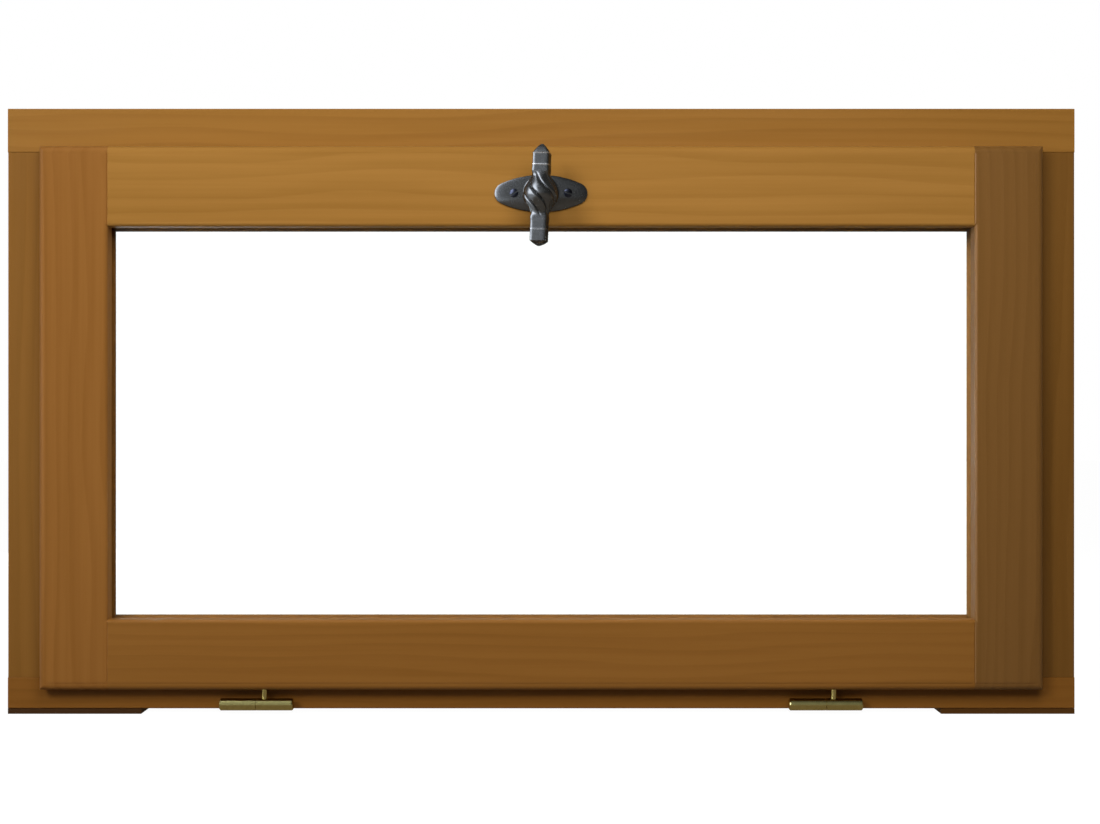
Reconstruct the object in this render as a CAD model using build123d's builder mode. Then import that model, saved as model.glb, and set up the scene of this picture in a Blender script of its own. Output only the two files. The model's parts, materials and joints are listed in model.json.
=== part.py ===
from build123d import *
import math
import os

# Hopper window: a timber frame with a bottom-hung sash that opens into the room.
# X runs along the window, Y from the room to the outside, Z up from the feet.

# Frame sections
frame_width = 800.0
frame_height = 450.0
frame_depth = 58.0
jamb_face = 31.0
head_face = 33.0
sill_face = 23.6
rebate_depth = 33.0
stop_height = 12.0
frame_arris = 1.0
foot_length = 100.0
foot_thickness = 4.0

# Outer nose of the sill, with its weathering slope and drip groove
nose_reach = 22.0
nose_underside = 12.0
weathering_start = 11.0
weathering_angle = 9.0
drip_radius = 2.0
sill_drip_inset = 8.0

# Frame corner joints
jamb_tenon_thickness = 14.0
jamb_tenon_width = 16.0
jamb_tenon_setback = 15.0
head_tenon_length = 22.0
sill_tenon_length = 15.0
tenon_play = 0.1
mortise_bottom_gap = 1.0

# Sash sections
sash_thickness = 46.0
sash_proud = 15.0
sash_clearance = 3.0
closing_gap = 0.3
lip_lap_side = 3.8
lip_lap_top = 3.0
lip_lap_bottom = 7.7
stile_width = 51.5
top_rail_width = 60.0
bottom_rail_width = 52.6
moulding_band = 6.0
moulding_quirk = 0.6
moulding_radius = 5.0
sash_arris = 2.6
joint_groove_width = 1.4
joint_groove_depth = 0.5
sash_tenon_thickness = 12.0
sash_tenon_setback = 18.0
sash_tenon_length = 34.0
sash_tenon_shoulder = 4.0

# Glazing
glazing_setback = 12.0
glazing_rebate = 14.0
glass_thickness = 4.0
glass_cavity = 6.0
glass_edge_gap = 3.0
spacer_width = 6.0
spacer_inset = 1.5
setting_block_length = 50.0
setting_block_inset = 80.0
bead_play = 0.2
bead_splay = 8.0

# Weather bar on the outside of the bottom rail
drip_mould_rise = 4.0
drip_mould_height = 16.0
drip_mould_nose = 7.0
drip_mould_reach = 18.0
drip_mould_drip_inset = 5.0

# Screw-in barrel hinges under the sash
hinge_spacing = 424.0
hinge_axis_height = 4.6
barrel_diameter = 9.0
barrel_length = 27.0
barrel_chamfer = 0.8
knuckle_gap = 0.6
pin_diameter = 4.5
pin_play = 0.1
pin_cover = 3.0
stem_diameter = 4.0
stem_offset = 6.0
stem_depth_sill = 24.0
stem_depth_sash = 28.0
stem_play = 0.1

# Handle rose
handle_drop = 36.0
rose_length = 68.6
rose_height = 27.4
rose_end_radius = 8.0
rose_edge = 2.0
rose_thickness = 4.4
rose_bevel = 2.8
boss_diameter = 25.0
boss_top_diameter = 17.0
boss_height = 3.6
rose_screw_spacing = 39.4
screw_head_diameter = 7.4
screw_head_rise = 1.0
screw_shank_diameter = 3.5
screw_shank_length = 20.0
screw_slot_width = 1.0
screw_slot_depth = 0.9
screw_play = 0.2

# Handle bar, with its twisted middle, its neck and its spindle
bar_standoff = 30.0
bar_lean = 2.2
bar_width = 13.0
bar_edge_chamfer = 2.0
bar_drop = 4.7
bar_tip_height = 5.4
bar_tip_flat = 3.4
bar_block_length = 8.6
bar_plain_length = 7.0
bar_score_width = 0.6
bar_score_depth = 0.4
twist_length = 32.2
twist_radius = 13.1
twist_end_radius = 6.3
twist_angle = 170.0
twist_phase = 12.0
twist_strands = 6
twist_steps = 8
strand_radius = 4.8
strand_sides = 10
neck_diameter = 12.0
neck_flare_diameter = 16.0
neck_gap = 0.5
journal_diameter = 13.0
journal_play = 0.3
spindle_width = 7.0
spindle_play = 0.05
spindle_socket = 14.0
spindle_reach = 30.0
spindle_hole_diameter = 14.0
spindle_hole_depth = 34.0

# Levels and planes that the pieces share
frame_bottom = foot_thickness
frame_top = frame_bottom + frame_height
frame_side = frame_width / 2
front_reach = sash_proud + bar_standoff + twist_radius
back_reach = frame_depth + nose_reach
frame_face_y = (front_reach - back_reach) / 2
rebate_y = frame_face_y + rebate_depth
frame_back_y = frame_face_y + frame_depth

sash_face_y = frame_face_y - sash_proud
sash_back_y = sash_face_y + sash_thickness
lip_back_y = frame_face_y - closing_gap
lip_side = frame_side - jamb_face + lip_lap_side
lip_top = frame_top - head_face + lip_lap_top
lip_bottom = frame_bottom + sill_face - lip_lap_bottom
body_side = frame_side - jamb_face - sash_clearance
body_top = frame_top - head_face - sash_clearance
body_bottom = frame_bottom + sill_face + sash_clearance
light_side = lip_side - stile_width
light_top = lip_top - top_rail_width
light_bottom = lip_bottom + bottom_rail_width
light_middle = (light_top + light_bottom) / 2

glass_face_y = sash_face_y + glazing_setback
glass_side = light_side + glazing_rebate - glass_edge_gap
glass_top = light_top + glazing_rebate - glass_edge_gap
glass_bottom = light_bottom - glazing_rebate + glass_edge_gap
outer_pane_y = glass_face_y + glass_thickness + glass_cavity
glass_back_y = outer_pane_y + glass_thickness

hinge_y = frame_face_y - sash_proud / 2
hinge_z = frame_bottom + hinge_axis_height
handle_z = lip_top - handle_drop
bar_y = sash_face_y - bar_standoff
rose_face_y = sash_face_y - rose_thickness
boss_face_y = rose_face_y - boss_height

# Head: one rebated section that runs over both jambs
with BuildSketch(Plane.YZ) as head_section:
    with BuildLine():
        Polyline(
            (frame_face_y, frame_top),
            (frame_back_y, frame_top),
            (frame_back_y, frame_top - head_face - stop_height),
            (rebate_y, frame_top - head_face - stop_height),
            (rebate_y, frame_top - head_face),
            (frame_face_y, frame_top - head_face),
            close=True,
        )
    make_face()

# Sill: the same rebate turned up, with a sloped nose that throws the rain clear
stop_top = frame_bottom + sill_face + stop_height
slope_y = rebate_y + weathering_start
nose_y = frame_back_y + nose_reach
nose_top = stop_top - (nose_y - slope_y) * math.tan(math.radians(weathering_angle))
with BuildSketch(Plane.YZ) as sill_section:
    with BuildLine():
        Polyline(
            (frame_face_y, frame_bottom),
            (frame_face_y, frame_bottom + sill_face),
            (rebate_y, frame_bottom + sill_face),
            (rebate_y, stop_top),
            (slope_y, stop_top),
            (nose_y, nose_top),
            (nose_y, frame_bottom + nose_underside),
            (frame_back_y, frame_bottom + nose_underside),
            (frame_back_y, frame_bottom),
            close=True,
        )
    make_face()
    with Locations((nose_y - sill_drip_inset, frame_bottom + nose_underside)):
        Circle(drip_radius, mode=Mode.SUBTRACT)

# The jamb tenons stand in the front half of the section, behind the room face
tenon_x = frame_side - jamb_face / 2
tenon_y = frame_face_y + jamb_tenon_setback + jamb_tenon_thickness / 2
tenon_foot = frame_bottom + sill_face
tenon_head = frame_top - head_face

with BuildPart() as head:
    extrude(head_section.sketch, amount=frame_side, both=True)
    fillet(head.edges().filter_by(Axis.X).group_by(Axis.Y)[0], frame_arris)
    with BuildSketch(Plane.XY.offset(tenon_head)):
        with Locations((tenon_x, tenon_y), (-tenon_x, tenon_y)):
            Rectangle(jamb_tenon_width + 2 * tenon_play, jamb_tenon_thickness + 2 * tenon_play)
    extrude(amount=head_tenon_length + mortise_bottom_gap, mode=Mode.SUBTRACT)

with BuildPart() as sill:
    extrude(sill_section.sketch, amount=frame_side, both=True)
    fillet(sill.edges().filter_by(Axis.X).group_by(Axis.Y)[0], frame_arris)
    with BuildSketch(Plane.XY.offset(tenon_foot)):
        with Locations((tenon_x, tenon_y), (-tenon_x, tenon_y)):
            Rectangle(jamb_tenon_width + 2 * tenon_play, jamb_tenon_thickness + 2 * tenon_play)
    extrude(amount=-sill_tenon_length - mortise_bottom_gap, mode=Mode.SUBTRACT)
    with BuildSketch(Plane.XZ.offset(-frame_face_y)):
        with Locations(
            (-hinge_spacing / 2 - stem_offset, hinge_z),
            (hinge_spacing / 2 - stem_offset, hinge_z),
        ):
            Circle(stem_diameter / 2 + stem_play)
    extrude(amount=-stem_depth_sill - mortise_bottom_gap, mode=Mode.SUBTRACT)

# Jambs: scribed over the head and the sill, with a tenon at each end
with BuildPart() as jamb_left:
    with BuildSketch(Plane.XY.offset(frame_bottom)):
        with BuildLine():
            Polyline(
                (-frame_side, frame_face_y),
                (-frame_side + jamb_face, frame_face_y),
                (-frame_side + jamb_face, rebate_y),
                (-frame_side + jamb_face + stop_height, rebate_y),
                (-frame_side + jamb_face + stop_height, frame_back_y),
                (-frame_side, frame_back_y),
                close=True,
            )
        make_face()
    extrude(amount=frame_height)
    fillet(jamb_left.edges().filter_by(Axis.Z).group_by(Axis.Y)[0], frame_arris)
    extrude(head_section.sketch, amount=frame_width, both=True, mode=Mode.SUBTRACT)
    extrude(sill_section.sketch, amount=frame_width, both=True, mode=Mode.SUBTRACT)
    with BuildSketch(Plane.XY.offset(tenon_foot - sill_tenon_length)):
        with Locations((-tenon_x, tenon_y)):
            Rectangle(jamb_tenon_width, jamb_tenon_thickness)
    extrude(amount=sill_tenon_length + tenon_head - tenon_foot + head_tenon_length)

with BuildPart() as jamb_right:
    mirror(jamb_left.part, about=Plane.YZ)

# Feet: two packers that carry the ends of the sill
with BuildPart() as foot_left:
    with BuildSketch(Plane.XY):
        with Locations((-frame_side + foot_length / 2, frame_face_y + frame_depth / 2)):
            Rectangle(foot_length, frame_depth)
    extrude(amount=foot_thickness)

with BuildPart() as foot_right:
    mirror(foot_left.part, about=Plane.YZ)

# Sash before it is cut into stiles and rails: the lip with its quirked ovolo, the body
# that enters the frame, the rounded inner arris, the eased joint lines and the rebate
# for the glass
with BuildPart() as sash_blank:
    with BuildSketch(Plane.XZ.offset(-lip_back_y)):
        with Locations((0, lip_bottom)):
            Rectangle(2 * lip_side, lip_top - lip_bottom, align=(Align.CENTER, Align.MIN))
    extrude(amount=lip_back_y - sash_face_y - moulding_quirk)
    fillet(sash_blank.faces().sort_by(Axis.Y)[0].edges(), moulding_radius)
    with BuildSketch(Plane.XZ.offset(-sash_face_y - moulding_quirk)):
        with Locations((0, lip_bottom + moulding_band)):
            Rectangle(
                2 * (lip_side - moulding_band),
                lip_top - lip_bottom - 2 * moulding_band,
                align=(Align.CENTER, Align.MIN),
            )
    extrude(amount=moulding_quirk)
    with BuildSketch(Plane.XZ.offset(-sash_back_y)):
        with Locations((0, body_bottom)):
            Rectangle(2 * body_side, body_top - body_bottom, align=(Align.CENTER, Align.MIN))
    extrude(amount=sash_back_y - lip_back_y)
    with BuildSketch(Plane.XZ.offset(-sash_back_y)) as light_outline:
        with Locations((0, light_middle)):
            Rectangle(2 * light_side, light_top - light_bottom)
    extrude(amount=sash_thickness, mode=Mode.SUBTRACT)
    front_edges = sash_blank.faces().sort_by(Axis.Y)[0].inner_wires()[0].edges()
    fillet(front_edges, sash_arris)
    with BuildSketch(Plane.XY.offset(lip_bottom)):
        with Locations((-light_side, sash_face_y), (light_side, sash_face_y)):
            Polygon(
                (-joint_groove_width / 2, 0),
                (0, joint_groove_depth),
                (joint_groove_width / 2, 0),
                align=(Align.CENTER, Align.MIN),
            )
    extrude(amount=lip_top - lip_bottom, mode=Mode.SUBTRACT)
    with BuildSketch(Plane.XZ.offset(-sash_back_y)):
        add(light_outline.sketch)
        offset(amount=glazing_rebate, kind=Kind.INTERSECTION)
    extrude(amount=sash_thickness - glazing_setback, mode=Mode.SUBTRACT)

# Sash tenons: the solid wood between the glazing rebate and the sash edge
rebate_top = light_top + glazing_rebate
rebate_bottom = light_bottom - glazing_rebate
sash_tenon_y = sash_face_y + sash_tenon_setback + sash_tenon_thickness / 2
top_tenon_height = body_top - rebate_top - 2 * sash_tenon_shoulder
bottom_tenon_height = rebate_bottom - body_bottom - 2 * sash_tenon_shoulder
top_tenon_z = (body_top + rebate_top) / 2
bottom_tenon_z = (body_bottom + rebate_bottom) / 2

with BuildPart() as stile_left:
    add(sash_blank.part)
    split(bisect_by=Plane.YZ.offset(-light_side), keep=Keep.BOTTOM)
    with BuildSketch(Plane.YZ.offset(-light_side)):
        with Locations((sash_tenon_y, top_tenon_z)):
            Rectangle(sash_tenon_thickness + 2 * tenon_play, top_tenon_height + 2 * tenon_play)
        with Locations((sash_tenon_y, bottom_tenon_z)):
            Rectangle(sash_tenon_thickness + 2 * tenon_play, bottom_tenon_height + 2 * tenon_play)
    extrude(amount=-sash_tenon_length - mortise_bottom_gap, mode=Mode.SUBTRACT)

with BuildPart() as stile_right:
    mirror(stile_left.part, about=Plane.YZ)

with BuildPart() as top_rail:
    add(sash_blank.part)
    split(bisect_by=Plane.YZ.offset(light_side), keep=Keep.BOTTOM)
    split(bisect_by=Plane.YZ.offset(-light_side), keep=Keep.TOP)
    split(bisect_by=Plane.XY.offset(light_middle), keep=Keep.TOP)
    with BuildSketch(Plane.YZ):
        with Locations((sash_tenon_y, top_tenon_z)):
            Rectangle(sash_tenon_thickness, top_tenon_height)
    extrude(amount=light_side + sash_tenon_length, both=True)
    with BuildSketch(Plane.XZ.offset(-sash_face_y)):
        with Locations((0, handle_z)):
            Circle(spindle_hole_diameter / 2)
    extrude(amount=-spindle_hole_depth, mode=Mode.SUBTRACT)
    with BuildSketch(Plane.XZ.offset(-sash_face_y)):
        with Locations(
            (-rose_screw_spacing / 2, handle_z),
            (rose_screw_spacing / 2, handle_z),
        ):
            Circle(screw_shank_diameter / 2 + screw_play)
    extrude(amount=-screw_shank_length, mode=Mode.SUBTRACT)

with BuildPart() as bottom_rail:
    add(sash_blank.part)
    split(bisect_by=Plane.YZ.offset(light_side), keep=Keep.BOTTOM)
    split(bisect_by=Plane.YZ.offset(-light_side), keep=Keep.TOP)
    split(bisect_by=Plane.XY.offset(light_middle), keep=Keep.BOTTOM)
    with BuildSketch(Plane.YZ):
        with Locations((sash_tenon_y, bottom_tenon_z)):
            Rectangle(sash_tenon_thickness, bottom_tenon_height)
    extrude(amount=light_side + sash_tenon_length, both=True)
    with BuildSketch(Plane.XY.offset(lip_bottom)):
        with Locations(
            (-hinge_spacing / 2 + stem_offset, hinge_y),
            (hinge_spacing / 2 + stem_offset, hinge_y),
        ):
            Circle(stem_diameter / 2 + stem_play)
    extrude(amount=stem_depth_sash + mortise_bottom_gap, mode=Mode.SUBTRACT)

# Weather bar: sheds water off the bottom rail on to the slope of the sill
drip_mould_bottom = stop_top + drip_mould_rise
drip_mould_top = drip_mould_bottom + drip_mould_height
drip_mould_side = frame_side - jamb_face - stop_height - sash_clearance
with BuildPart() as drip_mould:
    with BuildSketch(Plane.YZ):
        with BuildLine():
            Polyline(
                (sash_back_y, drip_mould_bottom),
                (sash_back_y, drip_mould_top),
                (sash_back_y + drip_mould_reach, drip_mould_bottom + drip_mould_nose),
                (sash_back_y + drip_mould_reach, drip_mould_bottom),
                close=True,
            )
        make_face()
        with Locations((sash_back_y + drip_mould_reach - drip_mould_drip_inset, drip_mould_bottom)):
            Circle(drip_radius, mode=Mode.SUBTRACT)
    extrude(amount=drip_mould_side, both=True)

# Sealed double glazing: two panes with a spacer round the edge, on two setting blocks
glass_height = glass_top - glass_bottom
with BuildSketch(Plane.XZ.offset(-glass_back_y)) as glass_outline:
    with Locations((0, light_middle)):
        Rectangle(2 * glass_side, glass_height)

with BuildPart() as pane_outer:
    extrude(glass_outline.sketch, amount=glass_thickness)

with BuildPart() as pane_inner:
    add(pane_outer.part.moved(Pos(0, -glass_cavity - glass_thickness, 0)))

with BuildPart() as glass_spacer:
    with BuildSketch(Plane.XZ.offset(-outer_pane_y)):
        with Locations((0, light_middle)):
            Rectangle(2 * (glass_side - spacer_inset), glass_height - 2 * spacer_inset)
            Rectangle(
                2 * (glass_side - spacer_inset - spacer_width),
                glass_height - 2 * (spacer_inset + spacer_width),
                mode=Mode.SUBTRACT,
            )
    extrude(amount=glass_cavity)

with BuildPart() as setting_blocks:
    with BuildSketch(Plane.XZ.offset(-glass_back_y)):
        with Locations(
            (-glass_side + setting_block_inset, rebate_bottom),
            (glass_side - setting_block_inset, rebate_bottom),
        ):
            Rectangle(setting_block_length, glass_edge_gap, align=(Align.CENTER, Align.MIN))
    extrude(amount=glass_back_y - glass_face_y)

# Glazing beads on the outside, mitred at the corners of the rebate
bead_depth = sash_back_y - glass_back_y
with BuildPart() as bead_frame:
    with BuildSketch(Plane.XZ.offset(-sash_back_y)):
        with Locations((0, light_middle)):
            Rectangle(
                2 * (light_side + glazing_rebate - bead_play),
                light_top - light_bottom + 2 * (glazing_rebate - bead_play),
            )
            Rectangle(2 * light_side, light_top - light_bottom, mode=Mode.SUBTRACT)
    extrude(amount=bead_depth)
    bead_front = bead_frame.faces().sort_by(Axis.Y)[-1]
    bead_edges = bead_front.inner_wires()[0].edges()
    chamfer(bead_edges, length=bead_splay, length2=bead_depth - bead_play, reference=bead_front)

mitre_left_top = Plane(origin=(-light_side, 0, light_top), z_dir=(1, 0, 1))
mitre_right_top = Plane(origin=(light_side, 0, light_top), z_dir=(-1, 0, 1))
mitre_left_bottom = Plane(origin=(-light_side, 0, light_bottom), z_dir=(1, 0, -1))
mitre_right_bottom = Plane(origin=(light_side, 0, light_bottom), z_dir=(-1, 0, -1))

with BuildPart() as bead_top:
    add(bead_frame.part)
    split(bisect_by=mitre_left_top, keep=Keep.TOP)
    split(bisect_by=mitre_right_top, keep=Keep.TOP)
    split(bisect_by=Plane.XY.offset(light_middle), keep=Keep.TOP)

with BuildPart() as bead_bottom:
    add(bead_frame.part)
    split(bisect_by=mitre_left_bottom, keep=Keep.TOP)
    split(bisect_by=mitre_right_bottom, keep=Keep.TOP)
    split(bisect_by=Plane.XY.offset(light_middle), keep=Keep.BOTTOM)

with BuildPart() as bead_left:
    add(bead_frame.part)
    split(bisect_by=mitre_left_top, keep=Keep.BOTTOM)
    split(bisect_by=mitre_left_bottom, keep=Keep.BOTTOM)

with BuildPart() as bead_right:
    mirror(bead_left.part, about=Plane.YZ)

# Barrel hinges: the left barrel screws into the sill and the right one into the sash,
# so that the sash lifts off sideways
with BuildPart() as hinge_left_frame_barrel:
    with BuildSketch(Plane.YZ.offset(-hinge_spacing / 2 - knuckle_gap / 2)):
        with Locations((hinge_y, hinge_z)):
            Circle(barrel_diameter / 2)
    extrude(amount=-barrel_length)
    chamfer(hinge_left_frame_barrel.edges().sort_by(Axis.X)[0], barrel_chamfer)
    with BuildSketch(Plane.XZ.offset(-hinge_y)):
        with Locations((-hinge_spacing / 2 - stem_offset, hinge_z)):
            Circle(stem_diameter / 2)
    extrude(amount=hinge_y - frame_face_y - stem_depth_sill)
    with BuildSketch(Plane.YZ.offset(-hinge_spacing / 2 - knuckle_gap / 2)):
        with Locations((hinge_y, hinge_z)):
            Circle(pin_diameter / 2)
    extrude(amount=-barrel_length + pin_cover, mode=Mode.SUBTRACT)

with BuildPart() as hinge_left_sash_barrel:
    with BuildSketch(Plane.YZ.offset(-hinge_spacing / 2 + knuckle_gap / 2)):
        with Locations((hinge_y, hinge_z)):
            Circle(barrel_diameter / 2)
    extrude(amount=barrel_length)
    chamfer(hinge_left_sash_barrel.edges().sort_by(Axis.X)[-1], barrel_chamfer)
    with BuildSketch(Plane.XY.offset(hinge_z)):
        with Locations((-hinge_spacing / 2 + stem_offset, hinge_y)):
            Circle(stem_diameter / 2)
    extrude(amount=lip_bottom - hinge_z + stem_depth_sash)
    with BuildSketch(Plane.YZ.offset(-hinge_spacing / 2 + knuckle_gap / 2)):
        with Locations((hinge_y, hinge_z)):
            Circle(pin_diameter / 2 + pin_play)
    extrude(amount=barrel_length - pin_cover, mode=Mode.SUBTRACT)

pin_start = -hinge_spacing / 2 - knuckle_gap / 2 - barrel_length + pin_cover
with BuildPart() as hinge_left_pin:
    with BuildSketch(Plane.YZ.offset(pin_start)):
        with Locations((hinge_y, hinge_z)):
            Circle(pin_diameter / 2)
    extrude(amount=2 * (barrel_length - pin_cover) - pin_cover)

with BuildPart() as hinge_right_frame_barrel:
    add(hinge_left_frame_barrel.part.moved(Pos(hinge_spacing, 0, 0)))

with BuildPart() as hinge_right_sash_barrel:
    add(hinge_left_sash_barrel.part.moved(Pos(hinge_spacing, 0, 0)))

with BuildPart() as hinge_right_pin:
    add(hinge_left_pin.part.moved(Pos(hinge_spacing, 0, 0)))

# Rose: a bevelled four-centred oval plate, with a conical boss that guides the neck.
# Two large arcs cross, and small arcs round their tips.
rose_base = Plane.XZ.offset(-sash_face_y)
rose_front = Plane.XZ.offset(-rose_face_y)
oval_reach = rose_length / 2 - rose_end_radius
oval_step = rose_height / 2 - rose_end_radius
oval_drop = (oval_reach**2 - oval_step**2) / (2 * oval_step)
with BuildPart() as handle_rose:
    with BuildSketch(rose_base):
        with Locations((0, handle_z - oval_drop)):
            Circle(oval_drop + rose_height / 2)
        with Locations((0, handle_z + oval_drop)):
            Circle(oval_drop + rose_height / 2, mode=Mode.INTERSECT)
        fillet(vertices(), rose_end_radius)
    extrude(amount=rose_thickness)
    rose_rim = handle_rose.faces().sort_by(Axis.Y)[0]
    chamfer(
        rose_rim.edges(),
        length=rose_bevel,
        length2=rose_thickness - rose_edge,
        reference=rose_rim,
    )
    with Locations(rose_front * Pos(0, handle_z, 0)):
        Cone(
            boss_diameter / 2,
            boss_top_diameter / 2,
            boss_height,
            align=(Align.CENTER, Align.CENTER, Align.MIN),
        )
    with BuildSketch(rose_base):
        with Locations((0, handle_z)):
            Circle(journal_diameter / 2 + journal_play)
    extrude(amount=rose_thickness + boss_height, mode=Mode.SUBTRACT)
    with Locations(
        rose_front * Pos(-rose_screw_spacing / 2, handle_z, 0),
        rose_front * Pos(rose_screw_spacing / 2, handle_z, 0),
    ):
        CounterSinkHole(
            screw_shank_diameter / 2 + screw_play,
            screw_head_diameter / 2 + screw_play,
            rose_thickness,
        )

with BuildPart() as rose_screw_left:
    with BuildSketch(Plane(origin=(-rose_screw_spacing / 2, rose_face_y, handle_z), z_dir=(0, 0, 1))):
        with BuildLine():
            Polyline(
                (0, screw_shank_length),
                (screw_shank_diameter / 2, screw_shank_length),
                (screw_shank_diameter / 2, (screw_head_diameter - screw_shank_diameter) / 2),
                (screw_head_diameter / 2, 0),
                (screw_head_diameter / 2, -screw_head_rise),
                (0, -screw_head_rise),
                close=True,
            )
        make_face()
    revolve(axis=Axis((-rose_screw_spacing / 2, 0, handle_z), (0, 1, 0)))
    with BuildSketch(Plane.XZ.offset(-rose_face_y + screw_head_rise)):
        with Locations((-rose_screw_spacing / 2, handle_z)):
            Rectangle(screw_head_diameter, screw_slot_width, rotation=30)
    extrude(amount=-screw_slot_depth, mode=Mode.SUBTRACT)

with BuildPart() as rose_screw_right:
    mirror(rose_screw_left.part, about=Plane.YZ)

# Handle bar: square ends with pyramid tips and a swollen middle of twisted strands.
# Each strand is a rod that winds about the bar and bows out in the middle; flat sides
# and straight steps keep the count of its faces low.
bar_axis = Plane(
    origin=(0, bar_y, handle_z),
    x_dir=(math.cos(math.radians(bar_lean)), 0, -math.sin(math.radians(bar_lean))),
    z_dir=(math.sin(math.radians(bar_lean)), 0, math.cos(math.radians(bar_lean))),
)
twist_plane = bar_axis.offset(-bar_drop)
twist_half = twist_length / 2
plain_end = twist_half + bar_plain_length
block_end = plain_end + bar_block_length
tip_taper = math.degrees(math.atan2(bar_width - bar_tip_flat, 2 * bar_tip_height))

strand_points = []
for step in range(twist_steps + 1):
    along = 2 * step / twist_steps - 1
    swell = math.cos(along * math.pi / 2) ** 2
    reach = twist_end_radius + (twist_radius - twist_end_radius) * swell - strand_radius
    turn = math.radians(twist_phase - 90 - along * twist_angle / 2)
    strand_points.append((reach * math.cos(turn), reach * math.sin(turn), along * twist_half))

with BuildPart() as strand:
    with BuildLine() as strand_path:
        Polyline(*strand_points)
    with BuildSketch(Plane(origin=strand_path.line @ 0, z_dir=strand_path.line % 0)):
        RegularPolygon(strand_radius, strand_sides)
    sweep(transition=Transition.RIGHT)

with BuildPart() as twist:
    for index in range(twist_strands):
        add(strand.part.rotate(Axis.Z, index * 360 / twist_strands))

with BuildPart() as handle_bar:
    add(twist.part.moved(twist_plane.location))
    for end in (-1, 1):
        with BuildSketch(twist_plane.offset(end * (twist_half - 1))):
            Rectangle(bar_width, bar_width)
            chamfer(vertices(), bar_edge_chamfer)
        extrude(amount=end * (block_end - twist_half + 1))
        with BuildSketch(twist_plane.offset(end * block_end)):
            Rectangle(bar_width, bar_width)
            chamfer(vertices(), bar_edge_chamfer)
        extrude(amount=end * bar_tip_height, taper=tip_taper)
        for score in (plain_end, block_end):
            with BuildSketch(twist_plane.offset(end * score - bar_score_width / 2)):
                Rectangle(2 * bar_width, 2 * bar_width)
                Rectangle(
                    bar_width - 2 * bar_score_depth,
                    bar_width - 2 * bar_score_depth,
                    mode=Mode.SUBTRACT,
                )
            extrude(amount=bar_score_width, mode=Mode.SUBTRACT)
    with BuildSketch(Plane(origin=(0, 0, handle_z), z_dir=(0, 0, 1))):
        with BuildLine():
            Polyline(
                (0, bar_y),
                (neck_diameter / 2, bar_y),
                (neck_flare_diameter / 2, boss_face_y - neck_gap),
                (journal_diameter / 2, boss_face_y - neck_gap),
                (journal_diameter / 2, sash_face_y - neck_gap),
                (0, sash_face_y - neck_gap),
                close=True,
            )
        make_face()
    revolve(axis=Axis((0, 0, handle_z), (0, 1, 0)))
    with BuildSketch(Plane.XZ.offset(-sash_face_y)):
        with Locations((0, handle_z)):
            Rectangle(
                spindle_width + 2 * spindle_play,
                spindle_width + 2 * spindle_play,
                rotation=-bar_lean,
            )
    extrude(amount=spindle_socket, mode=Mode.SUBTRACT)

with BuildPart() as handle_spindle:
    with BuildSketch(Plane.XZ.offset(-sash_face_y + spindle_socket)):
        with Locations((0, handle_z)):
            Rectangle(spindle_width, spindle_width, rotation=-bar_lean)
    extrude(amount=-spindle_socket - spindle_reach)

pieces = {
    "head": head,
    "sill": sill,
    "jamb_left": jamb_left,
    "jamb_right": jamb_right,
    "foot_left": foot_left,
    "foot_right": foot_right,
    "stile_left": stile_left,
    "stile_right": stile_right,
    "top_rail": top_rail,
    "bottom_rail": bottom_rail,
    "drip_mould": drip_mould,
    "pane_inner": pane_inner,
    "pane_outer": pane_outer,
    "glass_spacer": glass_spacer,
    "setting_blocks": setting_blocks,
    "bead_top": bead_top,
    "bead_bottom": bead_bottom,
    "bead_left": bead_left,
    "bead_right": bead_right,
    "hinge_left_frame_barrel": hinge_left_frame_barrel,
    "hinge_left_sash_barrel": hinge_left_sash_barrel,
    "hinge_left_pin": hinge_left_pin,
    "hinge_right_frame_barrel": hinge_right_frame_barrel,
    "hinge_right_sash_barrel": hinge_right_sash_barrel,
    "hinge_right_pin": hinge_right_pin,
    "handle_rose": handle_rose,
    "rose_screw_left": rose_screw_left,
    "rose_screw_right": rose_screw_right,
    "handle_bar": handle_bar,
    "handle_spindle": handle_spindle,
}
os.makedirs("parts", exist_ok=True)
for name, piece in pieces.items():
    piece.part.label = name
    export_step(piece.part, f"parts/{name}.step")
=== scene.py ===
# %% [markdown]
# # A small hopper window, dressed for its photograph
# The window is a timber frame with a bottom-hung sash, clear double glazing, two brass barrel
# hinges and a dark turning handle. Its solids come ready made, each in its own place, in
# metres: X runs along the window, Y from the room to the outside and Z up. This lesson gives
# them their finishes, makes the fittings as fine surfaces, and sets up light and camera.

# %% Load the solids and keep their box
import json
import math

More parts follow.
